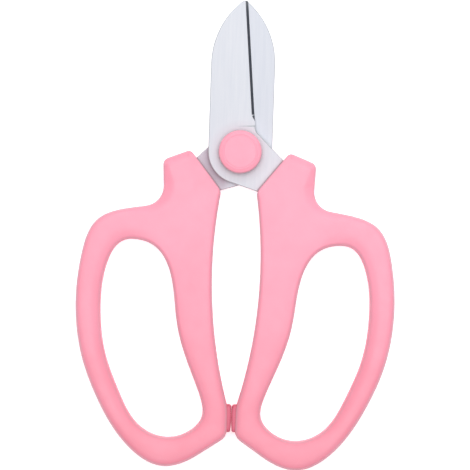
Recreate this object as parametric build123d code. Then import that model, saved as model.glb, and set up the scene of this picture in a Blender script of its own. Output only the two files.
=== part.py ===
from build123d import *
import os
from math import atan2, cos, degrees, radians, sin, sqrt

# Floral snips: two coated steel blades on one bolt, each moulded into a loop handle.
#
# Millimetres. The closed tool lies flat. The origin is on the pivot axis, at the surface that
# the tool lies on. +Z is up along the pivot, +Y runs to the tips of the blades. The front blade
# is the upper one: its back is on the left (-X) and its tang runs into the right handle (+X).
# The rear half is the same shape turned over about the Y axis.

# Blade, seen from above
blade_thickness = 2.5
blade_gap = 0.05                      # between the two blades' flat faces
blade_length = 56.5                   # pivot axis to tip
hub_radius = 11.95                    # the back runs straight off the round hub
nose_radius = 30.3                    # the curve that brings the back over to the tip
tip_inset = 0.6                       # the point stands this far short of the axis
tip_width = 1.7                       # blunt end across the point
tip_drop = 0.2                        # the blunt end falls this much to the cutting edge
edge_lean = 5.05                      # degrees between the cutting edge and the Y axis
choil_radius = 3.5                    # hollow between the cutting edge and the tang
corner_break = 0.25                   # chamfer round the outline, but for the cutting edge

# Grinding of the blade's outer face
grind_width = 7.5
grind_depth = 0.5
grind_start = 9.5                     # height of the step above the pivot
bevel_width = 1.25
bevel_start = 14.0
bevel_runout = 3.0                    # below its start, the bevel turns off the edge
bevel_runout_angle = 24.0             # degrees
edge_land = 0.2                       # thickness left at the very edge

# Tang
tang_top_offset = 9.4                 # from the pivot axis to the tang's upper edge
tang_top_angle = -44.2                # degrees
tang_low_angle = -17.3                # degrees, the lower edge runs off the hub
tongue_width = 8.0                    # the part that lies inside the handle's inner limb
tongue_depth = 56.5                   # pivot axis to the tongue's low end
window_width = 3.6                    # windows that the moulded handle fills
window_length = 10.0
window_pitch = 16.0
window_count = 2
window_end = 16.5                     # the tongue's low end to the middle of the last window

# Handle: the neck
neck_gap = 2.45                       # between the hub and the neck's face
neck_angle = 51.5                     # degrees, direction of the neck's face
neck_low_wall = 0.3                   # plastic below the tang at the neck's face
neck_top_wall = 3.6                   # plastic above the tang at the neck's face
neck_inset = 3.0                      # the tang's lower edge runs this far in before it turns
neck_tip_radius = 1.9
shoulder_run = 10.1                   # neck tip to shoulder, across
shoulder_drop = 4.0
crown_slope = -9.0                    # degrees, the line from the throat to the loop's top
shoulder_radius = 2.6
throat_lean = 0.9                     # the throat's line runs inwards by this much on its way down
throat_radius = 7.4                   # hollow where the thumb or finger rests

# Handle: the finger hole, and the limbs around it
hole_length = 73.4
hole_width = 39.3
hole_drop = 33.9                      # pivot axis to the top of the hole
crown_limb = 12.0                     # over the top of the hole
corner_limb = 10.0
side_limb = 9.25
flank_limb = 8.75
low_limb = 8.4
heel_limb = 10.8                      # under the hole
toe_limb = 9.4
foot_limb = 9.4                       # between the hole and the stop pad
foot_cover = 1.3                      # the waist's curve starts this far behind the pad
foot_radius = 20.0                    # blends the waist into the straight face behind the pad
toe_slope = 146.0                     # degrees, from the loop's low end up to the pad
toe_radius = 5.0
waist_hollow = 4.6                    # how far the inner edge curves away from the middle line
outer_round = 1.5
hole_round = 2.6

# The hole's outline as (across, along) in half widths and half lengths from its middle, going
# round from the top by the inner side, with the width of the limb outside that point.
hole_outline = [
    (0.42, 1.00, crown_limb),
    (-0.12, 0.87, None),
    (-0.35, 0.57, None),
    (-0.46, 0.16, None),
    (-0.69, -0.24, None),
    (-0.92, -0.54, None),
    (-0.99, -0.78, None),
    (-0.70, -0.95, toe_limb),
    (-0.31, -1.00, heel_limb),
    (0.17, -0.90, low_limb),
    (0.60, -0.55, low_limb),
    (0.88, -0.17, flank_limb),
    (1.00, 0.32, side_limb),
    (0.91, 0.74, corner_limb),
    (0.70, 0.95, crown_limb),
]

# Stop pads
closed_gap = 0.15                     # between the two pads when the tool is closed
pad_rise = 7.8                        # the hole's low end to the pads' middle
pad_length = 10.4
pad_height = 9.0
pad_crown = 0.4                       # the face bulges by this much
pad_stand = 1.4                       # how far a pad stands out of its limb
pad_sink = 0.8                        # how far its body is let into the limb
pad_corner = 0.9
pad_chamfer = 0.45
stem_width = 5.0
stem_depth = 4.2                      # the stem that anchors it, from the pad's root

# Pivot
shoulder_diameter = 7.0               # the blades' bearing
running_clearance = 0.03              # radial
key_cut = 0.7                         # depth of each of the two flats that stop the bolt turning
head_overhang = 1.25                  # the head reaches this far past the shoulder
head_height = 1.75
head_corner = 0.35
socket_flats = 3.0
socket_depth = 1.2
thread_diameter = 5.0
nut_flats = 8.0
nut_height = 2.3
blade_washer_diameter = 13.0
blade_washer_recess = 0.45
spring_thickness = 0.3
spring_height = 0.45
loose_fit = 0.1                       # radial, round parts that only need to pass
slide_gap = 0.02                      # flat faces that rub

# Caps and the collars that they snap onto
collar_floor = 0.7
collar_room = 0.55                    # radial, between the collar and the head or the nut
collar_wall = 1.1
barb_height = 0.5                     # the snap rim's radial height
barb_length = 0.8
snap_clearance = 0.05
cap_wall = 1.65
cap_roof = 0.925
roof_gap = 0.05                       # between the roof and the tallest thing under it
cap_lift = 0.1                        # between the cap's rim and the blade
cap_bevel_width = 2.0
cap_bevel_drop = 0.4
cap_corner = 0.8
crease_width = 0.35
crease_depth = 0.08

# The caps' outer faces and the handles' flat faces lie in the same two planes, so the handles
# are as thick as the taller of the two stacks on the bolt asks for.
front_stack = slide_gap + collar_floor + spring_height + head_height
rear_stack = collar_floor + nut_height
half_thickness = blade_gap / 2 + blade_thickness + max(front_stack, rear_stack) + roof_gap + cap_roof
handle_thickness = 2 * half_thickness

front_bottom = half_thickness + blade_gap / 2
front_top = front_bottom + blade_thickness
rear_top = half_thickness - blade_gap / 2
rear_bottom = rear_top - blade_thickness
recess_floor = rear_top - blade_washer_recess
head_bottom = front_top + slide_gap + collar_floor + spring_height
nut_top = rear_bottom - collar_floor
shoulder_radius_fit = shoulder_diameter / 2 + running_clearance
shoulder_radius_loose = shoulder_diameter / 2 + loose_fit
head_radius = shoulder_diameter / 2 + head_overhang
nut_radius = nut_flats / 2 / cos(radians(30))
collar_radius = max(head_radius, nut_radius) + collar_room + collar_wall
cap_bore = collar_radius + snap_clearance
cap_radius = cap_bore + cap_wall
hole_x = closed_gap / 2 + pad_stand + foot_limb + hole_width / 2
hole_y = -hole_drop - hole_length / 2
pad_y = -hole_drop - hole_length + pad_rise
turn_over = Rot(0, 180, 0)


def to_rear(shape):
    """The same piece on the rear half: turned over about the Y axis, in the middle plane."""
    return Pos(0, 0, handle_thickness) * (turn_over * shape)


def along(angle, distance=1.0):
    """A step of this length in this direction, in the plane of the tool."""
    return Vector(distance * cos(radians(angle)), distance * sin(radians(angle)))


def crossing(point_a, angle_a, point_b, angle_b):
    """Where two lines meet, each given by a point and a direction."""
    step_a, step_b, apart = along(angle_a), along(angle_b), point_b - point_a
    turn = step_a.X * step_b.Y - step_a.Y * step_b.X
    return point_a + step_a * ((apart.X * step_b.Y - apart.Y * step_b.X) / turn)


# The lines that the outlines are drawn on, and where they meet.
edge_top = Vector(tip_width - tip_inset, blade_length - tip_drop)
edge_direction = -90 + edge_lean
tang_top_point = along(tang_top_angle + 90, tang_top_offset)
tang_low_point = along(tang_low_angle - 90, hub_radius)
choil = crossing(edge_top, edge_direction, tang_top_point, tang_top_angle)
neck_point = along(neck_angle - 90, hub_radius + neck_gap)
neck_low = crossing(neck_point, neck_angle, tang_low_point, tang_low_angle)
neck_top = crossing(neck_point, neck_angle, tang_top_point, tang_top_angle)
neck_heel = neck_low - along(neck_angle, neck_low_wall)
neck_tip = neck_top + along(neck_angle, neck_top_wall)
foot = Vector(closed_gap / 2 + pad_stand, pad_y + pad_length / 2 - foot_cover)


def hole_edge():
    """The finger hole's outline, a closed smooth curve."""
    half_width, half_length = hole_width / 2, hole_length / 2
    points = [(hole_x + u * half_width, hole_y + v * half_length) for u, v, limb in hole_outline]
    return Spline(*points, periodic=True)


def limb_points():
    """Points of the handle's outer outline, each one limb's width outside the hole."""
    hole = hole_edge()
    points = []
    for u, v, limb in hole_outline:
        if limb is None:
            continue
        place = Vector(hole_x + u * hole_width / 2, hole_y + v * hole_length / 2)
        tangent = hole.tangent_at(hole.param_at_point(place))
        points.append(place + Vector(tangent.Y, -tangent.X) * limb)
    # The hole's list runs down the inner side first, and the loop is drawn down its outer side.
    return points[:1] + points[:0:-1]


def inner_edge():
    """The hollow inner edge from the foot up to the neck, one large arc."""
    chord = neck_heel - foot
    across = Vector(chord.Y, -chord.X).normalized()
    return ThreePointArc(foot, foot + chord * 0.5 + across * waist_hollow, neck_heel)


def handle_face():
    """The handle seen from above, with its finger hole."""
    limbs = limb_points()
    crown, toe = limbs[0], limbs[-1]
    waist = inner_edge()
    shoulder = neck_tip + Vector(shoulder_run, -shoulder_drop)
    throat_direction = degrees(atan2(crown.Y - shoulder.Y, -throat_lean))
    throat = crossing(shoulder, throat_direction, crown, crown_slope)
    bend = crossing(toe, toe_slope, foot, 90)
    neck = FilletPolyline(
        neck_heel, neck_tip, shoulder, throat, crown,
        radius=[neck_tip_radius, shoulder_radius, throat_radius],
    )
    loop = Spline(*limbs, tangents=[neck % 1, along(toe_slope)], tangent_scalars=[1, 1])
    outline = make_face(neck.edges() + loop.edges() + Polyline(toe, bend, foot).edges() + waist.edges())
    for corner, radius in ((bend, toe_radius), (foot, foot_radius)):
        outline = fillet(outline.vertices().sort_by_distance(corner)[0], radius)
    return outline - make_face(hole_edge())


def tongue_x():
    """The middle of the inner limb, where the tongue lies."""
    level = Vector(0, -tongue_depth + tongue_width)
    ray = Line(level, level + Vector(hole_x, 0))
    inner = min(point.X for point in ray.find_intersection_points(inner_edge()))
    outer = min(point.X for point in ray.find_intersection_points(hole_edge()))
    return (inner + outer) / 2


def blade_face():
    """The blade seen from above, without its tang: back, nose, blunt tip, cutting edge and hub."""
    nose_run = nose_radius - hub_radius + tip_inset
    nose_start = blade_length - sqrt(nose_radius**2 - nose_run**2)
    nose_centre = Vector(nose_radius - hub_radius, nose_start)
    nose_end_angle = degrees(atan2(blade_length - nose_start, -nose_run))
    nose_middle = nose_centre + along((180 + nose_end_angle) / 2, nose_radius)
    back = Line((-hub_radius, 0), (-hub_radius, nose_start))
    nose = ThreePointArc(back @ 1, nose_middle, (-tip_inset, blade_length))
    rest = Polyline(nose @ 1, edge_top, choil, (0, 0), (-hub_radius, 0))
    # The hub stays left of the cutting edge's line and below the tang's upper edge.
    far = 4 * hub_radius
    beyond = Polyline(
        choil, choil - along(edge_direction, far), (far, far), choil + along(tang_top_angle, far),
        close=True,
    )
    hub = Circle(hub_radius) - make_face(beyond)
    return make_face(back.edges() + nose.edges() + rest.edges()) + hub


def tang_face():
    """The tang: a wedge between its two edge lines that ends in a tongue inside the handle."""
    left = tongue_x() - tongue_width / 2
    right = left + tongue_width
    end_y = -tongue_depth + tongue_width / 2
    top_end = crossing(tang_top_point, tang_top_angle, Vector(right, 0), -90)
    low_end = crossing(tang_low_point, tang_low_angle, neck_heel + Vector(neck_inset, 0), -90)
    slant_end = Vector(left, low_end.Y - (left - low_end.X))
    wedge = Polyline(
        (0, 0), tang_top_point, top_end, (right, end_y), (left, end_y), slant_end, low_end,
        tang_low_point, close=True,
    )
    return make_face(wedge) + Pos((left + right) / 2, end_y) * Circle(tongue_width / 2)


def grind_cut(width, depth, start, length, turn=0.0):
    """A wedge along the cutting edge: nothing at its inner side, this deep at the edge itself."""
    past = width                      # the wedge runs on past the edge at the same slope
    wedge = Polygon((-width, 0), (past, -2 * depth), (past, depth), (-width, depth), align=None)
    bar = Rot(90, 0, 0) * extrude(wedge, -length)
    at_edge = crossing(edge_top, edge_direction, Vector(0, start), 0)
    return Pos(at_edge.X, start, front_top) * Rot(0, 0, edge_lean + turn) * bar


def is_level(edge):
    """Whether an edge lies in one horizontal plane."""
    return abs((edge @ 0).Z - (edge @ 1).Z) < 0.001


def blade_blank():
    """The stamped, ground and pierced blade, as the front one, before its middle hole is made."""
    outline = blade_face() + tang_face()
    outline = fillet(outline.vertices().sort_by_distance(choil)[0], choil_radius)
    body = Pos(0, 0, front_bottom) * extrude(outline, blade_thickness)
    level_edges = body.edges().filter_by(is_level)
    blunt_edges = level_edges.filter_by(
        lambda edge: (edge @ 0.5).X < -tip_inset or (edge @ 0.5).Y < grind_start
    )
    body = chamfer(blunt_edges, corner_break)
    ramp = Plane(origin=(0, grind_start, front_top), z_dir=(0, 1, 1))
    grind = split(grind_cut(grind_width, grind_depth, grind_start, blade_length), ramp, keep=Keep.TOP)
    body -= grind
    bevel_depth = blade_thickness - edge_land
    body -= grind_cut(bevel_width, bevel_depth, bevel_start, blade_length)
    body -= grind_cut(bevel_width, bevel_depth, bevel_start, -bevel_runout, bevel_runout_angle)
    for number in range(window_count):
        window = SlotOverall(window_length, window_width, rotation=90)
        window_y = -tongue_depth + window_end + number * window_pitch
        body -= Pos(tongue_x(), window_y, front_bottom) * extrude(window, blade_thickness)
    return body


def front_blade():
    """The upper blade, which turns on the bolt's shoulder."""
    bore = Circle(shoulder_radius_fit)
    return blade_blank() - Pos(0, 0, front_bottom) * extrude(bore, blade_thickness)


def key_face(clearance=0.0):
    """The bolt's keyed section: a round with two flats."""
    flats = shoulder_diameter - 2 * key_cut + 2 * clearance
    return Circle(shoulder_diameter / 2 + clearance) & Rectangle(flats, 2 * shoulder_diameter)


def rear_blade():
    """The same blade turned over, with a keyed hole and a recess for the washer."""
    keyhole = Pos(0, 0, rear_bottom) * extrude(key_face(running_clearance), blade_thickness)
    recess_face = Circle(blade_washer_diameter / 2 + loose_fit)
    recess = Pos(0, 0, recess_floor) * extrude(recess_face, blade_washer_recess)
    return to_rear(blade_blank()) - keyhole - recess


def stop_pad():
    """The right stop pad: a low cushion with a bulging face, and a stem let into the limb."""
    face_x = closed_gap / 2
    back_x = face_x + pad_stand + pad_sink
    low, high = pad_y - pad_length / 2, pad_y + pad_length / 2
    face = ThreePointArc((face_x + pad_crown, low), (face_x, pad_y), (face_x + pad_crown, high))
    sides = Polyline(face @ 1, (back_x, high), (back_x, low), face @ 0)
    outline = make_face(face.edges() + sides.edges())
    outline = fillet(outline.vertices().sort_by(Axis.X)[:2], pad_corner)
    pad = Pos(0, 0, half_thickness - pad_height / 2) * extrude(outline, pad_height)
    rims = pad.edges().filter_by(lambda edge: is_level(edge) and (edge @ 0.5).X < back_x - pad_sink)
    pad = chamfer(rims, pad_chamfer)
    stem = Box(stem_depth, stem_width, stem_width, align=(Align.MIN, Align.CENTER, Align.CENTER))
    return pad + Pos(back_x, pad_y, half_thickness) * stem


def right_handle(blade, pad):
    """The right handle, moulded round the front blade's tang and let in for its pad."""
    body = extrude(handle_face(), handle_thickness)
    hole_edges = body.edges().filter_by(lambda edge: is_level(edge) and edge.is_closed)
    body = fillet(hole_edges, hole_round)
    faces_z = (0, handle_thickness)
    rims = body.edges().filter_by(
        lambda edge: is_level(edge) and not edge.is_closed
        and min(abs((edge @ 0).Z - height) for height in faces_z) < 0.001
    )
    return fillet(rims, outer_round) - blade - pad


def standing_cylinder(radius, low, high):
    """A cylinder on the pivot axis between two heights."""
    return Pos(0, 0, (low + high) / 2) * Cylinder(radius, high - low)


def pivot_bolt():
    """Shoulder bolt: round head with a hex socket, bearing shoulder, keyed neck and thread."""
    head_top = head_bottom + head_height
    bolt = chamfer(
        standing_cylinder(head_radius, head_bottom, head_top).edges().sort_by(Axis.Z)[-1], head_corner
    )
    bolt += standing_cylinder(shoulder_diameter / 2, recess_floor, head_bottom)
    bolt += Pos(0, 0, nut_top) * extrude(key_face(), recess_floor - nut_top)
    bolt += standing_cylinder(thread_diameter / 2, nut_top - nut_height, nut_top)
    socket = RegularPolygon(socket_flats / 2, 6, major_radius=False)
    return bolt - Pos(0, 0, head_top - socket_depth) * extrude(socket, socket_depth)


def pivot_nut():
    """Thin hexagon nut whose outer corners are broken by a cone."""
    hexagon = RegularPolygon(nut_flats / 2, 6, major_radius=False) - Circle(thread_diameter / 2)
    nut = Pos(0, 0, nut_top - nut_height) * extrude(hexagon, nut_height)
    cone = standing_cylinder(nut_radius, nut_top - nut_height, nut_top)
    return nut & chamfer(cone.edges().sort_by(Axis.Z)[0], nut_radius - nut_flats / 2)


def blade_washer():
    """Thin slippery ring in the rear blade's recess, which the front blade turns on."""
    face = Circle(blade_washer_diameter / 2) - Circle(shoulder_radius_loose)
    return Pos(0, 0, recess_floor) * extrude(face, front_bottom - slide_gap - recess_floor)


def turned(points):
    """A solid turned about the pivot axis from a closed outline of (radius, height) points."""
    return revolve(Plane.XZ * make_face(Polyline(*points, close=True)), Axis.Z)


def spring_washer():
    """Conical spring washer under the bolt's head, pressed to its working height."""
    outer = head_radius - loose_fit
    low = head_bottom - spring_height
    return turned([
        (outer, low), (outer, low + spring_thickness), (shoulder_radius_loose, head_bottom),
        (shoulder_radius_loose, head_bottom - spring_thickness),
    ])


def front_collar(floor_low):
    """A floor held on the pivot, a thin wall round the hardware, and a snap rim near its top."""
    floor_high = floor_low + collar_floor
    wall_top = handle_thickness - cap_roof - loose_fit
    barb_top = wall_top - barb_length
    inner = collar_radius - collar_wall
    return turned([
        (shoulder_radius_loose, floor_low), (collar_radius, floor_low),
        (collar_radius, barb_top - barb_height), (collar_radius + barb_height, barb_top),
        (collar_radius, wall_top), (inner, wall_top), (inner, floor_high),
        (shoulder_radius_loose, floor_high),
    ])


def front_cap():
    """Round cap: a flat disc, a crease round it, a bevelled rim, and a snap groove inside."""
    top = handle_thickness
    roof_low = top - cap_roof
    rim_low = front_top + cap_lift
    groove_middle = roof_low - loose_fit - barb_length
    crease = cap_radius - cap_bevel_width
    bevel_low = top - cap_bevel_drop
    outline = make_face(Polyline(
        (0, roof_low), (cap_bore, roof_low), (cap_bore, roof_low - loose_fit),
        (cap_bore + barb_height, groove_middle), (cap_bore, groove_middle - barb_height),
        (cap_bore, rim_low), (cap_radius, rim_low), (cap_radius, bevel_low),
        (crease + crease_width, top), (crease, top - crease_depth), (crease - crease_width, top),
        (0, top), close=True,
    ))
    outline = fillet(outline.vertices().sort_by_distance((cap_radius, bevel_low))[0], cap_corner)
    return revolve(Plane.XZ * outline, Axis.Z)


upper_blade = front_blade()
pad = stop_pad()
grip = right_handle(upper_blade, pad)
cap = front_cap()

parts = {
    "front_blade": upper_blade,
    "rear_blade": rear_blade(),
    "right_handle": grip,
    "left_handle": to_rear(grip),
    "right_stop_pad": pad,
    "left_stop_pad": to_rear(pad),
    "pivot_bolt": pivot_bolt(),
    "pivot_nut": pivot_nut(),
    "blade_washer": blade_washer(),
    "spring_washer": spring_washer(),
    "front_collar": front_collar(front_top + slide_gap),
    "rear_collar": to_rear(front_collar(front_top)),
    "front_cap": cap,
    "rear_cap": to_rear(cap),
}

os.makedirs("parts", exist_ok=True)
for name, shape in parts.items():
    export_step(shape, f"parts/{name}.step")
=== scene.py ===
# %% [markdown]
# # Floral snips
# Two coated steel blades turn on one bolt, and each is moulded into a loop handle of pink plastic.
# The blades and the pivot are stamped or turned pieces with plain faces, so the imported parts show
# them as they are and only get a finish here. The handles and the stop pads are what a hand feels,
# with soft edges that change all the way round, so they are worked out again below.

import math

import bmesh
import bpy
import numpy as np
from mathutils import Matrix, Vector
from mathutils.geometry import delaunay_2d_cdt


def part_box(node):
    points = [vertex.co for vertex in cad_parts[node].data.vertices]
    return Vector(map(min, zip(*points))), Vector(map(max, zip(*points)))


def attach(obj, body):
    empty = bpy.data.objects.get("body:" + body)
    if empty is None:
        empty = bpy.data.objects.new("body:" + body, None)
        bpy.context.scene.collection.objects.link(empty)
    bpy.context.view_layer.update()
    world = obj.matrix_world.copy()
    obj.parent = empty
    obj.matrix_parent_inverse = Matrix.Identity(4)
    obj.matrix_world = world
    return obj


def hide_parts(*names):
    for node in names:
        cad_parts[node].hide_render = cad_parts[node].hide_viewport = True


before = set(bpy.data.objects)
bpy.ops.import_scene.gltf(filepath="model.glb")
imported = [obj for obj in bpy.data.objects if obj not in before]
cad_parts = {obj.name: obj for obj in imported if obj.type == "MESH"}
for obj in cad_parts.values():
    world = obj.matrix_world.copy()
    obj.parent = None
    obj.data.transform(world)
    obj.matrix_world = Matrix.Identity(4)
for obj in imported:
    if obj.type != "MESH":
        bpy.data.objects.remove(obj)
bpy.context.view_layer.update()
mm = 0.001                            # Blender works in metres, and most lengths below are in mm
print("nodes:", sorted(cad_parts))

# %% [markdown]
# ## Camera
# The tool lies flat and is seen from straight above. A short lens would show the sides of the
# handles near the edges of the view, so the lens is a very long one, two metres up. The camera is
# turned by two degrees, because the tool lies a little askew.

# %% Camera
view_width = 175.3                    # how much of the tool's plane the view takes in
view_centre = (-0.9, -31.1, 9.0)
camera_height = 2000.0                # above the middle of the view
camera_turn = math.radians(1.94)

camera_data = bpy.data.cameras.new("camera")
camera_data.lens = camera_data.sensor_width * camera_height / view_width
camera = bpy.data.objects.new("camera", camera_data)
centre_x, centre_y, centre_z = view_centre
camera.location = (centre_x * mm, centre_y * mm, (centre_z + camera_height) * mm)
camera.rotation_euler = (0.0, 0.0, camera_turn)
bpy.context.scene.collection.objects.link(camera)
bpy.context.scene.camera = camera
print("lens:", round(camera_data.lens, 1), "mm")

# %% [markdown]
# ## Floor and light
# An environment image could light the tool from all round, but two lamps are easier to follow and
# need no file. A broad lamp above leaves hardly a shadow. A small one beyond the blades' tips makes
# them a little brighter than the loops, and the faint sky fills what both miss. The floor is pale
# and glows faintly, so that it stays nearly white beside the tool.

# %% Floor
floor_half = 3.0                      # metres
floor_level = -0.00005                # just under the tool, so that no two faces share a plane
floor_white = (0.95, 0.95, 0.95, 1)
floor_glow = 0.5

corners = [(-floor_half, -floor_half, floor_level), (floor_half, -floor_half, floor_level),
           (floor_half, floor_half, floor_level), (-floor_half, floor_half, floor_level)]
floor_mesh = bpy.data.meshes.new("floor")
floor_mesh.from_pydata(corners, [], [(0, 1, 2, 3)])
floor = bpy.data.objects.new("floor", floor_mesh)
bpy.context.scene.collection.objects.link(floor)

floor_material = bpy.data.materials.new("pale_floor")
floor_material.use_nodes = True
floor_surface = floor_material.node_tree.nodes["Principled BSDF"].inputs
floor_surface["Base Color"].default_value = floor_white
floor_surface["Roughness"].default_value = 0.9
floor_surface["Emission Color"].default_value = (1, 1, 1, 1)
floor_surface["Emission Strength"].default_value = floor_glow
floor_mesh.materials.append(floor_material)
print("floor", 2 * floor_half, "m wide,", floor_level / mm, "mm high")


# %% Light
def soft_light(name, place, target, size, power):
    """A square lamp that looks at a point: places and size in metres, power in watts."""
    data = bpy.data.lights.new(name, "AREA")
    data.size = size
    data.energy = power
    light = bpy.data.objects.new(name, data)
    light.location = place
    light.rotation_euler = (Vector(target) - Vector(place)).to_track_quat("-Z", "Y").to_euler()
    light.visible_camera = False
    bpy.context.scene.collection.objects.link(light)


soft_light("overhead", place=(0.0, 0.0, 2.4), target=(0, 0, 0), size=2.0, power=41.0)
soft_light("beyond_the_tips", place=(0.05, 0.27, 0.45), target=(0, -0.03, 0), size=0.5, power=1.3)

world = bpy.data.worlds.new("studio")
world.use_nodes = True
sky = world.node_tree.nodes["Background"].inputs
sky["Color"].default_value = (0.92, 0.95, 1.0, 1)
sky["Strength"].default_value = 0.24
bpy.context.scene.world = world
bpy.context.scene.view_settings.view_transform = "Standard"
print("lights:", [item.name for item in bpy.data.lights], "and the sky")

# %% [markdown]
# ## Handle outlines
# A handle's plan is the shape that the mould maker starts from. It could be drawn again as a curve,
# but then the two shapes could drift apart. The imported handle's walls stand upright, so a level cut
# through them gives the outline and the finger hole exactly. The outline is read low down, where no
# pad is let into it, and the hole higher up, above its rounded edge.

# %% Cutting a node level
same_place = 1e-7                     # points closer than this, in a mesh's own unit, are one


def level_outlines(node, height):
    """Closed outlines of a node at a height in millimetres: each an (n, 2) array, anticlockwise."""
    cut_mesh = bmesh.new()
    cut_mesh.from_mesh(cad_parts[node].data)
    bmesh.ops.remove_doubles(cut_mesh, verts=cut_mesh.verts, dist=same_place)
    every_part = cut_mesh.verts[:] + cut_mesh.edges[:] + cut_mesh.faces[:]
    cut = bmesh.ops.bisect_plane(cut_mesh, geom=every_part, dist=same_place / 10,
                                 plane_co=(0, 0, height * mm), plane_no=(0, 0, 1))["geom_cut"]
    joined = {}
    for edge in (item for item in cut if isinstance(item, bmesh.types.BMEdge)):
        for here, there in (edge.verts, reversed(edge.verts)):
            joined.setdefault(here, []).append(there)
    outlines = []
    while joined:
        here = next(iter(joined))
        outline = []
        while here is not None:
            outline.append((here.co.x / mm, here.co.y / mm))
            here = next((there for there in joined.pop(here) if there in joined), None)
        outline = np.array(outline)
        outlines.append(outline if enclosed(outline) > 0 else outline[::-1])
    cut_mesh.free()
    return outlines


def enclosed(outline):
    """Signed area: half the sum of x times the next y less y times the next x."""
    following = np.roll(outline, -1, 0)
    return 0.5 * np.sum(outline[:, 0] * following[:, 1] - outline[:, 1] * following[:, 0])


rim_height, hole_height = 1.9, 3.6
rim_cut = max(level_outlines("right_handle", rim_height), key=enclosed)
hole_cut = min(level_outlines("right_handle", hole_height), key=enclosed)
print("outline", len(rim_cut), "points,", round(enclosed(rim_cut)), "mm2; hole",
      len(hole_cut), "points,", round(enclosed(hole_cut)), "mm2")

# %% Even steps along an outline
rim_points, hole_points = 1000, 520
corner_gain = 2.0                     # a turn of one radian gets as many points as 2 mm


def walk(outline, count):
    """An outline in equal steps, closer together where it turns.

    Each stretch counts for its length plus corner_gain times the angle that it turns by."""
    step = np.roll(outline, -1, 0) - outline
    length = np.hypot(*step.T)
    heading = np.arctan2(step[:, 1], step[:, 0])
    bend = np.abs((np.roll(heading, -1) - heading + np.pi) % (2 * np.pi) - np.pi)
    counted = length + corner_gain * 0.5 * (bend + np.roll(bend, 1))
    measure = np.concatenate([[0], np.cumsum(counted)])
    closed = np.vstack([outline, outline[:1]])
    stations = np.linspace(0, measure[-1], count, endpoint=False)
    return np.stack([np.interp(stations, measure, closed[:, axis]) for axis in (0, 1)], 1)


quality = 1.0
rim = walk(rim_cut, int(rim_points * quality))
hole = walk(hole_cut, int(hole_points * quality))
print("rim", len(rim), "points, hole", len(hole), "points")

# %% Distance from an outline
batch = 1500                          # points measured at a time, so that the arrays stay small


def distances(points, outline):
    """Distance from each point to an outline, and how far round the outline the nearest point is.

    For each straight piece, the nearest point is the foot of the perpendicular kept within its
    ends."""
    step = np.roll(outline, -1, 0) - outline
    size = np.maximum(np.sum(step**2, 1), 1e-12)
    travelled = np.concatenate([[0], np.cumsum(np.sqrt(size))])[:-1]
    near, where = [], []
    for part in np.array_split(points, max(1, len(points) // batch)):
        offset = part[:, None, :] - outline[None]
        share = np.clip(np.sum(offset * step, 2) / size, 0, 1)
        gap = np.sum((offset - share[..., None] * step) ** 2, 2)
        best = np.argmin(gap, 1)
        rows = np.arange(len(part))
        near.append(np.sqrt(gap[rows, best]))
        where.append(travelled[best] + share[rows, best] * np.sqrt(size[best]))
    return np.concatenate(near), np.concatenate(where)


# %% [markdown]
# ## Landmarks
# The edge changes at places that a maker would point at: the tip of the neck, its shoulder, the
# throat where the loop begins, and the heel, where the neck's face turns into the limb's inner
# edge. They could be typed in as points, but then they would be lost when the outline changes. So
# each is the rim's furthest point in some direction, and the throat is its nearest to a notch's
# corner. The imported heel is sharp, and a moulded one isn't, so it gets a small round.

# %% Landmarks on the outline
heel_reach = 1.8                      # the heel's corner is rounded over this much of each side
neck_end, loop_start = -12.0, 45.0    # the neck lies above the first, the loop beyond the second
heel_way, shoulder_way = (-0.95, 0.3), (1.1, 1.0)     # the directions in which the two lie
ruled_out = 100.0                     # taken off a point that mustn't win

rim_step = np.roll(rim, -1, 0) - rim
rim_travel = np.concatenate([[0], np.cumsum(np.hypot(*rim_step.T))])
rim_length = rim_travel[-1]
rim_travel = rim_travel[:-1]


def landmark(wanted):
    """How far round the rim its point is where the given measure is largest."""
    return rim_travel[np.argmax(wanted)]


tip_at = landmark(rim[:, 1])
heel_at = landmark(rim @ heel_way)
shoulder_at = landmark(rim @ shoulder_way - ruled_out * (rim[:, 1] < neck_end))
neck_corner = rim[rim_travel == shoulder_at][0]
loop_top = rim[rim[:, 0] > loop_start, 1].max()
throat_at = landmark(-np.hypot(rim[:, 0] - neck_corner[0], rim[:, 1] - loop_top))
print("rim", round(rim_length), "mm; throat", round(throat_at, 1), "shoulder",
      round(shoulder_at, 1), "neck tip", round(tip_at, 1), "heel", round(heel_at, 1))


# %% Rounding the heel
def soften_corner(points, travel, corner_at, reach):
    """A corner made a quadratic curve: its ends lie a reach away, and its handle is the corner."""
    ends = [[np.interp(corner_at + side * reach, travel, points[:, axis], period=rim_length)
             for axis in (0, 1)] for side in (-1, 1)]
    corner = points[np.argmin(np.abs(travel - corner_at))].copy()
    near = np.abs(travel - corner_at) < reach
    share = ((travel[near] - corner_at) / reach + 1)[:, None] / 2
    softened = points.copy()
    softened[near] = (np.multiply((1 - share) ** 2, ends[0]) + 2 * share * (1 - share) * corner
                      + np.multiply(share**2, ends[1]))
    return softened


neck_heel = rim[rim_travel == heel_at][0].copy()
rim = soften_corner(rim, rim_travel, heel_at, heel_reach)
moved_by = np.hypot(*(neck_heel - rim[rim_travel == heel_at][0]))
print("the heel's corner moved in by", round(moved_by, 2), "mm")

# %% [markdown]
# ## Handle surface
# Seen end on, a limb is nearly flat on top, with a small round at its outer edge, a broader one at
# the finger hole, and a slight crown between them. A Bevel modifier would give one radius all the
# way round, and the real edge changes, so the whole surface is one height over the plan: each
# point's distance from the rim and from the hole says how far below the flat face it lies. The
# neck has a sloping top edge, and a facet that opens downwards from the shoulder to the throat.

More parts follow.
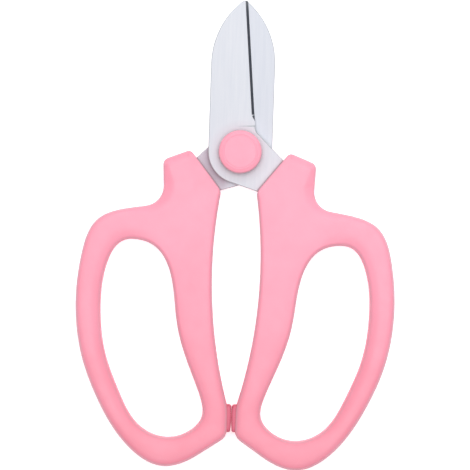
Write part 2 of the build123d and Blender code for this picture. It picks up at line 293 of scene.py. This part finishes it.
# %% Sizes of the handle's edges
thickness = (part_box("right_handle")[1].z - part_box("right_handle")[0].z) / mm
hole_round = 1.5                      # the radius of the finger hole's edge
hole_slope_width = 4.2
rim_slope_start, hole_slope_start = 0.3, 0.5  # the slopes start at these shares of the radius
hole_drop_inner, hole_drop_more = 0.2, 0.35   # the slope's drop, and what the outer limb adds
outer_limb = (30.0, 45.0)             # how far out the outer limb begins, and has wholly begun
crown_drop = 0.6
crown_widths = (11.0, 19.0)           # a limb narrower than the first is crowned, a wide one isn't
crown_least = 0.4                     # the crown's share up at the neck
crown_grows = (45.0, 85.0)            # how far below the pivot the crown starts and stops growing
seam_depth, seam_half = 0.1, 0.16     # the mould's parting line, halfway up the walls

edge_sizes = [                        # place on the rim, then radius, slope's width, slope's drop
    (throat_at - 12, 1.3, 2.6, 0.15),
    (throat_at, 1.1, 3.8, 0.7),
    (shoulder_at - 9, 1.0, 4.6, 0.95),
    (shoulder_at - 2, 1.0, 2.2, 0.4),
    (shoulder_at, 1.0, 3.0, 0.6),
    (tip_at, 0.9, 3.0, 0.6),
    (tip_at + 2, 0.6, 1.2, 0.0),
    (heel_at - 0.5, 0.6, 1.2, 0.0),
    (heel_at + 2, 1.3, 2.4, 0.15),
]
print("handle", round(thickness, 2), "mm thick, with", len(edge_sizes), "stations round its rim")


# %% Height over the plan
def smooth_step(value, low, high):
    """0 up to low, 1 from high, and 3t2 - 2t3 between them."""
    share = np.clip((value - low) / (high - low), 0, 1)
    return share * share * (3 - 2 * share)


def rim_sizes(travel):
    """For a place on the rim: the edge's radius, the width of the slope inside it, and its drop.

    Each changes in straight lines from one station to the next."""
    stations, *sizes = zip(*edge_sizes)
    return [np.interp(travel, stations, values, period=rim_length) for values in sizes]


def rounded(distance, radius):
    """How far a quarter round of this radius lies below its flat at a distance from the wall."""
    share = np.clip(distance / radius, 0, 1)
    return radius * (1 - np.sqrt(np.maximum(1 - (1 - share) ** 2, 0)))


def top_height(points):
    """Height of the handle's face: the flat less both rounds, both slopes and the crown.

    The crown is a parabola, 0 halfway between the rim and the hole and full at either."""
    from_rim, travel = distances(points, rim)
    from_hole, _ = distances(points, hole)
    radius, width, drop = rim_sizes(travel)
    hole_drop = hole_drop_inner + hole_drop_more * smooth_step(points[:, 0], *outer_limb)
    below = rounded(from_rim, radius) + rounded(from_hole, hole_round)
    below += drop * (1 - smooth_step(from_rim, radius * rim_slope_start, width))
    below += hole_drop * (1 - smooth_step(from_hole, hole_round * hole_slope_start,
                                          hole_slope_width))
    limb = from_rim + from_hole
    edge_on = 1 - 4 * from_rim * from_hole / np.maximum(limb, 1e-6) ** 2
    narrow = 1 - smooth_step(limb, *crown_widths)
    low_down = crown_least + (1 - crown_least) * smooth_step(-points[:, 1], *crown_grows)
    below += crown_drop * low_down * narrow * edge_on
    return thickness - below


# %% Rows of points along the edges
kept_share, kept_slack = 0.985, 0.01  # a point moved inwards must still be about that far away
round_rows = 8                        # over a quarter round, closer together where it is steeper
rim_slope_rows, hole_slope_rows = (0.35, 0.7, 1.0), (0.5, 1.0)    # as shares of the slope


def inward(outline, side):
    """Unit normals of an anticlockwise outline, to its left for side 1 and to its right for -1."""
    along = np.roll(outline, -1, 0) - np.roll(outline, 1, 0)
    along /= np.hypot(*along.T)[:, None]
    return side * np.stack([-along[:, 1], along[:, 0]], 1)


def ring(outline, side, depth):
    """An outline moved into the plastic by a depth, without the points that would cross over."""
    moved = outline + inward(outline, side) * np.reshape(depth, (-1, 1))
    return moved[distances(moved, outline)[0] > np.ravel(depth) * kept_share - kept_slack]


rim_radius, rim_slope, _ = rim_sizes(rim_travel)
quarter = 1 - np.cos(np.linspace(0, np.pi / 2, round_rows + 1))[1:]
hole_slope = hole_slope_width - hole_round
edge_rows = [ring(rim, 1, rim_radius * share) for share in quarter]
edge_rows += [ring(rim, 1, rim_radius + (rim_slope - rim_radius) * share)
              for share in rim_slope_rows]
edge_rows += [ring(hole, -1, np.full(len(hole), hole_round * share)) for share in quarter]
edge_rows += [ring(hole, -1, np.full(len(hole), hole_round + hole_slope * share))
              for share in hole_slope_rows]
print(len(edge_rows), "rows along the edges,", sum(map(len, edge_rows)), "points")

# %% Points over the rest of the plan
pitch = 1.1                           # between two points of the lattice
row_pitch = 0.866 * pitch             # between two rows, so that the triangles have equal sides
lattice_gap = 0.6 * pitch             # between the lattice and the innermost row of an edge


def inside(points, outline):
    """Whether points lie inside an outline: a ray to the right crosses it an odd number of
    times."""
    following = np.roll(outline, -1, 0)
    odd = np.zeros(len(points), bool)
    for part in np.array_split(np.arange(len(points)), max(1, len(points) // batch)):
        x, y = points[part, 0, None], points[part, 1, None]
        spans = (outline[:, 1] > y) != (following[:, 1] > y)
        rise = np.where(following[:, 1] == outline[:, 1], 1e-12, following[:, 1] - outline[:, 1])
        meets = outline[:, 0] + (y - outline[:, 1]) / rise * (following[:, 0] - outline[:, 0])
        odd[part] = np.sum(spans & (x < meets), 1) % 2 == 1
    return odd


across = np.arange(rim[:, 0].min(), rim[:, 0].max(), pitch)
upward = np.arange(rim[:, 1].min(), rim[:, 1].max(), row_pitch)
lattice = np.stack(np.meshgrid(across, upward), 2)
lattice[1::2, :, 0] += pitch / 2
lattice = lattice.reshape(-1, 2)
lattice = lattice[inside(lattice, rim) & ~inside(lattice, hole)]
rim_gap, rim_place = distances(lattice, rim)
hole_gap = distances(lattice, hole)[0]
clear = ((rim_gap > rim_sizes(rim_place)[1] + lattice_gap)
         & (hole_gap > hole_slope_width + lattice_gap))
plan = np.vstack([rim, hole] + edge_rows + [lattice[clear]])
print("plan points:", len(plan))

# %% [markdown]
# ## Handle mesh
# A grid of squares would leave steps along a curved rim. A Delaunay triangulation joins any points
# to their nearest neighbours, so the rim and the hole keep their own points and the rows beside
# them follow the round. The same face turned over closes the underside, because the moulding is
# alike on both sides, and walls join the two, with the mould's parting line as a fine groove.

# %% Triangles over the plan
rim_count, hole_count = len(rim), len(hole)


def closed_chain(first, count):
    """Index pairs that join a run of points into a closed outline."""
    numbers = first + np.arange(count)
    return np.stack([numbers, np.roll(numbers, -1)], 1)


chains = np.vstack([closed_chain(0, rim_count), closed_chain(rim_count, hole_count)])
points, _, triangles, came_from, _, _ = delaunay_2d_cdt(
    [Vector(point) for point in plan.tolist()], chains.tolist(), [], 0, same_place)
plan = np.array([tuple(point) for point in points])
triangles = np.array([face for face in triangles if len(face) == 3])
place_of = {old: new for new, olds in enumerate(came_from) for old in olds}
rim_ring = np.array([place_of[number] for number in range(rim_count)])
hole_ring = np.array([place_of[rim_count + number] for number in range(hole_count)])

# %% Triangles that belong to the plastic, all facing up
least_twice_area = 1e-6               # square millimetres

middle = plan[triangles].mean(1)
triangles = triangles[inside(middle, rim) & ~inside(middle, hole)]
side_a, side_b = (plan[triangles[:, corner]] - plan[triangles[:, 0]] for corner in (1, 2))
twice_area = side_a[:, 0] * side_b[:, 1] - side_a[:, 1] * side_b[:, 0]
triangles[twice_area < 0] = triangles[twice_area < 0][:, ::-1]
triangles = triangles[np.abs(twice_area) > least_twice_area]
print("triangles on one face:", len(triangles))

# %% Closing the handle
# Each ring of the seam: its height in seam halves from the middle, its depth in seam depths.
seam_profile = [(3, 0), (2, 0), (1, 1), (-1, 1), (-2, 0), (-3, 0)]


def wall(top_ring, bottom_ring, rings, outward):
    """Quads from one ring of vertices down to another, over the rings between them."""
    ladder = np.stack([top_ring] + rings + [bottom_ring])
    upper, lower = ladder[:-1], ladder[1:]
    quads = np.stack([upper, lower, np.roll(lower, -1, 1), np.roll(upper, -1, 1)], 2)
    quads = quads.reshape(-1, 4)
    return quads if outward else quads[:, ::-1]


def handle_arrays():
    """Vertices and faces of the right handle: the face, the same below, and walls with a seam.

    A wall drops straight from the face's rim, and each ring of the seam is the rim's outline at
    its own height, moved in by its own depth. The outermost two rings keep the wall's shading
    flat above and below the groove."""
    high = top_height(plan)
    count = len(plan)
    vertices = [np.column_stack([plan, high]), np.column_stack([plan, thickness - high])]
    faces = [triangles, triangles[:, ::-1] + count]
    first = 2 * count
    for outline_ring, side in ((rim_ring, 1), (hole_ring, -1)):
        outline = plan[outline_ring]
        into = inward(outline, side) * seam_depth
        rings = []
        for rise, depth in seam_profile:
            height = np.full(len(outline), thickness / 2 + rise * seam_half)
            vertices.append(np.column_stack([outline + into * depth, height]))
            rings.append(first + np.arange(len(outline)))
            first += len(outline)
        faces.append(wall(outline_ring, outline_ring + count, rings, side > 0))
    return np.vstack(vertices), faces


# %% The two grips
def new_piece(name, vertices, faces):
    """A mesh object from vertices in millimetres and a list of face arrays, shaded smooth."""
    mesh = bpy.data.meshes.new(name)
    every_face = [face for group in faces for face in group.tolist()]
    mesh.from_pydata((vertices * mm).tolist(), [], every_face)
    mesh.validate()
    mesh.shade_smooth()
    piece = bpy.data.objects.new(name, mesh)
    bpy.context.scene.collection.objects.link(piece)
    print(name, len(mesh.vertices), "vertices,", len(mesh.polygons), "faces")
    return piece


def turned_over(vertices):
    """The same shape on the left half: turned half way round the y axis, so nothing is mirrored."""
    return vertices * (-1, 1, -1) + (0, 0, thickness)


handle_vertices, handle_faces = handle_arrays()
right_grip = new_piece("right_grip", handle_vertices, handle_faces)
left_grip = new_piece("left_grip", turned_over(handle_vertices), handle_faces)
for grip, half in ((right_grip, "right"), (left_grip, "left")):
    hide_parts(half + "_handle")
    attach(grip, half + "_half")

# %% [markdown]
# ## Stop pads
# Two low rubber cushions take the knock when the tool is squeezed shut. A box with its corners
# broken would do, but a moulded cushion has no flat on it: its face bulges, its upper corner is
# rounder than its lower one, and where the two meet they leave only a narrow groove. So a pad is
# rings round its face: each ring is a rounded rectangle, and a height is worked out over them all.

# %% Stop pad sizes
pad_low, pad_high = (np.array(corner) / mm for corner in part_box("right_stop_pad"))
pad_half = (pad_high - pad_low)[1:] / 2
pad_middle = (pad_high + pad_low)[1:] / 2
pad_front = 0.015                     # how near the middle plane the face comes
pad_back = pad_low[0] + 2.1           # inside the limb
squareness = 7.0
upper_lean, lower_lean = 0.05, 0.3    # how far the face leans back towards its two ends
ends_from, ends_to = 0.55, 0.85       # cosines of the turn where the sides become the ends
side_width, side_depth = 0.2, 0.9     # the edge's width as a share of the pad, its depth in mm
upper_width, upper_depth = 0.02, 0.2  # what the upper end adds to those
lower_width, lower_depth = -0.1, -0.3    # and what the lower end adds
ring_points, flat_rings, edge_rings = 144, 8, 11
print("pad face", 2 * pad_half.round(2), "mm, at", pad_middle.round(2))


# %% Stop pad surface
def pad_arrays():
    """Vertices and faces of the right pad, ring by ring from its face's middle to its back's.

    A ring is where the powers of y and z, each over its half size, add up to 1. The face leans
    back with the square of y, and over its last stretch a quarter ellipse turns it into the wall.
    Three more rings are the wall's middle, its back edge, and one halfway in over the back."""
    turn = np.linspace(0, 2 * np.pi, ring_points, endpoint=False)
    powers = np.abs(np.cos(turn)) ** squareness + np.abs(np.sin(turn)) ** squareness
    reach = powers ** (-1 / squareness)
    ring_y, ring_z = reach * np.cos(turn), reach * np.sin(turn)
    upper = smooth_step(np.cos(turn), ends_from, ends_to)
    lower = smooth_step(-np.cos(turn), ends_from, ends_to)
    width = side_width + upper_width * upper + lower_width * lower
    depth = side_depth + upper_depth * upper + lower_depth * lower
    flat = np.linspace(0, 1, flat_rings + 1)[1:, None] * (1 - width)
    bend = np.linspace(0, np.pi / 2, edge_rings + 1)[1:, None]
    shares = np.vstack([flat, 1 - width + width * np.sin(bend), np.ones((2, len(turn))),
                        np.full((1, len(turn)), 0.5)])
    round_off = np.vstack([np.zeros_like(flat), depth * (1 - np.cos(bend))])
    y, z = shares * ring_y, shares * ring_z
    x = pad_front + np.where(y > 0, upper_lean, lower_lean) * y**2
    x[:len(round_off)] += round_off
    x[-3] = (x[-4] + pad_back) / 2
    x[-2:] = pad_back
    sheet = np.stack([x, pad_middle[0] + y * pad_half[0], pad_middle[1] + z * pad_half[1]], 2)
    poles = [[pad_front, *pad_middle], [pad_back, *pad_middle]]
    return np.vstack([sheet.reshape(-1, 3), poles]), pad_faces(*x.shape)


def pad_faces(rows, columns):
    """Quads from each ring to the next, and a fan of triangles from each pole to its ring."""
    number = np.arange(rows * columns).reshape(rows, columns)
    following = np.roll(number, -1, 1)
    quads = np.stack([number[:-1], number[1:], following[1:], following[:-1]], 2).reshape(-1, 4)
    front_pole, back_pole = (np.full(columns, rows * columns + pole) for pole in (0, 1))
    front_fan = np.stack([front_pole, number[0], following[0]], 1)
    back_fan = np.stack([back_pole, following[-1], number[-1]], 1)
    return [quads, front_fan, back_fan]


# %% The two cushions
cushion_vertices, cushion_faces = pad_arrays()
right_cushion = new_piece("right_cushion", cushion_vertices, cushion_faces)
left_cushion = new_piece("left_cushion", turned_over(cushion_vertices), cushion_faces)
for cushion, half in ((right_cushion, "right"), (left_cushion, "left")):
    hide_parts(half + "_stop_pad")
    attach(cushion, half + "_half")

# %% [markdown]
# ## Finishes
# Every finish is a small node tree. An image texture wrapped round each piece could do the same,
# but it would need a file and an unwrapped surface. The patterns here read Object coordinates,
# which are the tool's own metres, so a grain of a tenth of a millimetre is a tenth of a millimetre
# on every piece. The helpers below add the few kinds of node that all the finishes use.


# %% Building a finish
def new_finish(name):
    """A node material, with one helper that adds a node and one that joins it to the surface.

    A socket is named with _ for each space, or by its number after a _ where names repeat."""
    material = bpy.data.materials.new(name)
    material.use_nodes = True
    tree = material.node_tree
    surface = tree.nodes["Principled BSDF"]

    def add(kind, settings=None, **sockets):
        node = tree.nodes.new("ShaderNode" + kind)
        for key, value in (settings or {}).items():
            setattr(node, key, value)
        for key, value in sockets.items():
            socket = node.inputs[int(key[1:]) if key[1:].isdigit() else key.replace("_", " ")]
            if isinstance(value, bpy.types.NodeSocket):
                tree.links.new(value, socket)
            else:
                socket.default_value = value
        return node

    def into(socket, value):
        if isinstance(value, bpy.types.NodeSocket):
            tree.links.new(value, surface.inputs[socket])
        else:
            surface.inputs[socket].default_value = value

    return material, add, into


# %% Patterns
def grain(add, scale, stretch=(1, 1, 1), detail=3.0):
    """Noise over the object's own metres: scale in lumps per metre, squeezed by stretch."""
    place = add("TexCoord").outputs["Object"]
    spread = add("Mapping", Vector=place, Scale=stretch).outputs["Vector"]
    return add("TexNoise", Vector=spread, Scale=scale, Detail=detail).outputs["Fac"]


def bumps(add, height, strength, distance):
    """A surface normal tilted by a pattern: distance is the height of a full step, in metres."""
    return add("Bump", Height=height, Strength=strength, Distance=distance).outputs["Normal"]


# %% Sums with sockets
def part_of(add, vector, axis):
    """One of a vector's X, Y and Z."""
    return add("SeparateXYZ", Vector=vector).outputs[axis]


def worked(add, operation, *numbers):
    """What a Math node makes of one to three numbers."""
    sockets = {f"_{place}": number for place, number in enumerate(numbers)}
    return add("Math", {"operation": operation}, **sockets).outputs["Value"]


def levels(add, share, low, high, low_value=0.0, high_value=1.0):
    """A number that goes from one value to another as a share goes from low to high."""
    node = add("MapRange", Value=share)
    for socket, value in (("From Min", low), ("From Max", high),
                          ("To Min", low_value), ("To Max", high_value)):
        node.inputs[socket].default_value = value
    return node.outputs["Result"]


# %% Colours
def between(add, share, low, high, colours):
    """A colour that goes from one to another as a share goes from low to high."""
    ramp = add("ValToRGB", Fac=share)
    for stop, position, colour in zip(ramp.color_ramp.elements, (low, high), colours):
        stop.position = position
        stop.color = (*colour, 1)
    return ramp.outputs["Color"]


def mixed(add, share, first, second):
    """A mix of two colours, all the first at 0 and all the second at 1; the second may be plain."""
    if isinstance(second, tuple):
        second = (*second, 1)
    mix = add("Mix", {"data_type": "RGBA"}, _0=share, _6=first, _7=second)
    return mix.outputs[2]


# %% [markdown]
# ## Handle plastic
# The handles are moulded in a satin pink plastic. One flat colour would look like paint, and real
# plastic has faint clouds where it flowed, and an even, very fine grain left by an eroded mould. It
# is painted a little deeper in colour towards the loops' ends, a painted shade as if the light fell
# off there. The rounds between the faces and the walls are painted paler and greyer, a painted
# reflection of the dark surroundings that they face at a slant. They could be painted by hand, but
# the surface's own normal and height find them exactly: they are the places that are neither level
# nor low on a wall.

# %% Pink handle plastic
light_pinks = (0.93, 0.318, 0.422), (0.95, 0.342, 0.452)
painted_shade_pinks = (0.90, 0.275, 0.36), (0.92, 0.298, 0.388)
# painted reflection: the rounds are painted paler and greyer, for the dark surroundings they face at
# a slant
painted_rim_grey_pink = (0.75, 0.43, 0.495)
# painted shade: between these two the pink is painted deeper, as if the light fell off towards the
# loops' ends
painted_shade_from, painted_shade_to = -0.04, -0.105    # metres below the pivot
round_from, round_to = 0.94, 0.52     # how level the surface is where a round begins and is full
walls_to, rounds_from = 4.9, 5.4      # mm from the tool's middle plane
pink_clouds, pink_gloss, mould_grain = 45.0, 260.0, 5200.0    # lumps per metre


def pink_plastic():
    """Satin plastic: flow clouds in two pinks, painted shade towards the loops' ends, a painted paler
    reflection on the rounds, and a fine grain.
    """
    material, add, into = new_finish("pink_plastic")
    clouds = grain(add, pink_clouds, detail=4.0)
    light_pink = between(add, clouds, 0.35, 0.65, light_pinks)
    painted_shade_pink = between(add, clouds, 0.35, 0.65, painted_shade_pinks)
    place = add("TexCoord").outputs["Object"]
    # painted shade: the faces darken towards the loops' ends
    lower = levels(add, part_of(add, place, "Y"), painted_shade_from, painted_shade_to)
    faces = mixed(add, lower, light_pink, painted_shade_pink)
    upward = part_of(add, add("NewGeometry").outputs["Normal"], "Z")
    off_level = levels(add, worked(add, "ABSOLUTE", upward), round_from, round_to)
    above_middle = worked(add, "SUBTRACT", part_of(add, place, "Z"), thickness / 2 * mm)
    from_middle = worked(add, "ABSOLUTE", above_middle)
    near_face = levels(add, from_middle, walls_to * mm, rounds_from * mm)
    # painted reflection: paler, greyer rounds where the surface is neither level nor low on a wall
    painted_rim_grey = worked(add, "MULTIPLY", off_level, near_face)
    into("Base Color", mixed(add, painted_rim_grey, faces, painted_rim_grey_pink))
    into("Roughness", levels(add, grain(add, pink_gloss), 0.3, 0.7, 0.36, 0.46))
    into("Normal", bumps(add, grain(add, mould_grain, detail=2.0), 0.08, 0.04 * mm))
    into("Subsurface Weight", 0.08)
    into("Subsurface Radius", (0.004, 0.0015, 0.0015))
    into("Subsurface Scale", 0.3)
    return material


plastic = pink_plastic()
print(plastic.name, len(plastic.node_tree.nodes), "nodes")

# %% [markdown]
# ## Stop pad rubber
# The pads are a darker rose rubber, matt and slightly mottled. The same clouds drive the colour
# and the roughness, because where rubber is polished it is both darker and smoother.

# %% Pad rubber
rose_tones = (0.62, 0.125, 0.19), (0.69, 0.155, 0.23)
rose_clouds, rubber_grain = 300.0, 3800.0     # lumps per metre


def pad_rubber():
    """Rose rubber: clouds in two tones and in the roughness, and a fine bump."""
    material, add, into = new_finish("pad_rubber")
    clouds = grain(add, rose_clouds)
    into("Base Color", between(add, clouds, 0.3, 0.7, rose_tones))
    into("Roughness", levels(add, clouds, 0.3, 0.7, 0.5, 0.62))
    into("Normal", bumps(add, grain(add, rubber_grain), 0.12, 0.05 * mm))
    return material


rubber = pad_rubber()
print(rubber.name, len(rubber.node_tree.nodes), "nodes")

# %% [markdown]
# ## Coated blades
# A blade has a pale slippery coating all over, ground off again along the cutting bevel. The bevel
# could be a second material on its own faces, but the imported blade's faces stay as they are. It is
# the only face that is steep without being upright, so its own normal finds it, and its bare steel
# is painted far darker than steel, a painted dark reflection. The broken corners are the only faces
# that lie at 45 degrees, and they are a darker grey. Along the neck's face a dark line is a painted
# shadow in the gap where the plastic meets the blade, and round the pivot a darker ring is partly
# painted shade beside the hub and the cap and partly wear where the hubs rub.

# %% Where the neck's face crosses a blade
face_run = 12.0                       # the face is measured this far round the rim from the heel

face_point = rim[np.argmin(np.abs(rim_travel - (heel_at - face_run)))]
neck_angle = math.atan2(*(face_point - neck_heel)[::-1])
neck_reach = neck_heel[0] * math.sin(neck_angle) - neck_heel[1] * math.cos(neck_angle)
print("neck face at", round(math.degrees(neck_angle), 1), "degrees,",
      round(neck_reach, 2), "mm from the axis")

# %% Coated steel
# painted dark reflection: the bevel's bare steel is painted far darker than steel is
painted_dark_steel_tones = (0.045, 0.05, 0.06), (0.085, 0.092, 0.105)
corner_grey = (0.46, 0.48, 0.50)
# painted shadow: a dark line on the blade along the neck's face, where the gap holds shade
gap_shadow_colour, gap_shadow_most = (0.30, 0.15, 0.19), 0.75
left_of_pivot = -3 * mm, -6 * mm      # where the pivot's ring of painted shade and wear, on the left only, begins, and is full
gap_shadow_starts, gap_shadow_full = 0.55, 0.2    # mm short of the neck's face
corner_rise, corner_spread = 0.7071, 0.04             # how far up a broken corner's normal points
bevel_low, bevel_high = (0.18, 0.24), (0.52, 0.58)    # the bevel's lies between these two limits
long_streaks, fine_scratches = (22, 1, 22), (9, 1, 9)     # how much longer they are along y


def coated_steel(name, coat_tones, side, pivot_shade_and_wear):
    """A coat with long streaks, less the bevel and its painted dark steel, plus grey corners, a
    painted shadow line along the neck's face and a ring of painted shade and wear round the pivot.

    The shadow line's distance from the pivot is measured across the neck's face. The side is 1 for
    the right half's blade and -1 for the left's, and the last argument holds what the ring's share
    needs."""
    material, add, into = new_finish(name)
    rise = part_of(add, add("NewGeometry").outputs["True Normal"], "Z")
    steep = worked(add, "ABSOLUTE", rise)
    not_upright = levels(add, steep, *bevel_low)
    not_level = levels(add, steep, *bevel_high, 1.0, 0.0)
    bare = worked(add, "MULTIPLY", not_upright, not_level)
    streaks = grain(add, 60.0, long_streaks, 5.0)
    scratches = grain(add, 400.0, fine_scratches, 3.0)
    coat = between(add, streaks, 0.3, 0.7, coat_tones)
    steel = between(add, scratches, 0.3, 0.7, painted_dark_steel_tones)
    place = add("TexCoord").outputs["Object"]
    # a darker ring round the pivot: painted shade beside the hub and the cap, and some wear where the
    # hubs rub
    shaded_and_worn = mixed(add, pivot_shade_and_wear_share(add, place, pivot_shade_and_wear), coat, pivot_shade_and_wear["colour"])
    # the broken corners, at 45 degrees, are a darker grey
    corner = worked(add, "COMPARE", steep, corner_rise, corner_spread)
    grey_corners = mixed(add, corner, shaded_and_worn, corner_grey)
    # painted shadow: the dark line along the neck's face
    across = (side * math.sin(neck_angle), -math.cos(neck_angle), 0)
    away = add("VectorMath", {"operation": "DOT_PRODUCT"}, _0=place, _1=across).outputs["Value"]
    gap_shadow_line = levels(add, away, (neck_reach - gap_shadow_starts) * mm, (neck_reach - gap_shadow_full) * mm,
                  0.0, gap_shadow_most)
    gap_shadowed = mixed(add, gap_shadow_line, grey_corners, gap_shadow_colour)
    # the bevel gets the painted dark steel, a painted dark reflection
    into("Base Color", mixed(add, bare, gap_shadowed, steel))
    into("Metallic", bare)
    into("Roughness", levels(add, bare, 0.0, 1.0, 0.34, 0.3))
    into("Normal", bumps(add, scratches, 0.05, 0.03 * mm))
    return material


def pivot_shade_and_wear_share(add, place, pivot_shade_and_wear):
    """How much of the darker ring round the pivot, partly painted shade and partly wear, a blade
    gets:
    none from the outer radius, and the most from the inner one. Where left_only is set, it fades away
    over 3 mm left of the pivot."""
    flat_place = add("VectorMath", {"operation": "MULTIPLY"}, _0=place, _1=(1, 1, 0))
    radius = add("VectorMath", {"operation": "LENGTH"}, _0=flat_place.outputs["Vector"])
    share = levels(add, radius.outputs["Value"], pivot_shade_and_wear["outer"] * mm, pivot_shade_and_wear["inner"] * mm,
                   0.0, pivot_shade_and_wear["most"])
    if not pivot_shade_and_wear["left_only"]:
        return share
    to_left = levels(add, part_of(add, place, "X"), *left_of_pivot)
    return worked(add, "MULTIPLY", share, to_left)


# %% The two blades' coats
front_coat = coated_steel(
    "front_coat", ((0.565, 0.58, 0.635), (0.605, 0.615, 0.66)), side=1,
    pivot_shade_and_wear={"outer": 12.0, "inner": 8.6, "most": 0.32, "colour": (0.46, 0.40, 0.45),
           "left_only": False})
# painted shade: the rear blade's coat is a little darker and bluer than the front's, for the blade
# that lies lower
rear_coat = coated_steel(
    "rear_coat", ((0.545, 0.565, 0.63), (0.585, 0.60, 0.655)), side=-1,
    pivot_shade_and_wear={"outer": 16.8, "inner": 12.2, "most": 1.0, "colour": (0.35, 0.275, 0.34),
           "left_only": True})
for coat in (front_coat, rear_coat):
    print(coat.name, len(coat.node_tree.nodes), "nodes")

# %% [markdown]
# ## Pivot hardware
# The bolt, the nut and the spring washer are turned steel, which shows rings of fine tool marks
# round its axis. They are too fine to be worth cutting into a mesh, so a wave pattern in rings
# makes them, and its lines drive the colour and the gloss. The washer between the blades and the
# collars are a natural slippery plastic, waxy and pale.


# %% Turned steel
def brushed_steel():
    """Bright steel, with rings of fine tool marks around the pivot axis."""
    material, add, into = new_finish("brushed_steel")
    marks = add("TexWave", {"wave_type": "RINGS", "rings_direction": "Z"}, Scale=1800.0,
                Vector=add("TexCoord").outputs["Object"], Distortion=1.5).outputs["Fac"]
    into("Base Color", between(add, marks, 0.2, 0.8, ((0.46, 0.47, 0.49), (0.62, 0.63, 0.65))))
    into("Metallic", 1.0)
    into("Roughness", levels(add, marks, 0.0, 1.0, 0.24, 0.36))
    return material


# %% Slippery plastic
def slip_plastic():
    """Waxy plastic, with faint clouds in its colour and its roughness."""
    material, add, into = new_finish("slip_plastic")
    clouds = grain(add, 420.0)
    into("Base Color", between(add, clouds, 0.3, 0.7, ((0.72, 0.72, 0.69), (0.8, 0.8, 0.77))))
    into("Roughness", levels(add, clouds, 0.3, 0.7, 0.42, 0.55))
    return material


steel, waxy = brushed_steel(), slip_plastic()
print(steel.name, "and", waxy.name)

# %% [markdown]
# ## Giving out the finishes
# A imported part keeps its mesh, and only the material in its slots changes. The hidden handles and
# pads get theirs too, so that every part of the frame has a finish.

# %% Giving out the finishes
finishes = {
    front_coat: ("front_blade",),
    rear_coat: ("rear_blade",),
    plastic: ("right_handle", "left_handle", "front_cap", "rear_cap"),
    rubber: ("right_stop_pad", "left_stop_pad"),
    steel: ("pivot_bolt", "pivot_nut", "spring_washer"),
    waxy: ("blade_washer", "front_collar", "rear_collar"),
}
for material, nodes in finishes.items():
    for node in nodes:
        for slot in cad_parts[node].material_slots:
            slot.material = material
    print(material.name, "on", ", ".join(nodes))
for piece, material in ((right_grip, plastic), (left_grip, plastic),
                        (right_cushion, rubber), (left_cushion, rubber)):
    piece.data.materials.append(material)
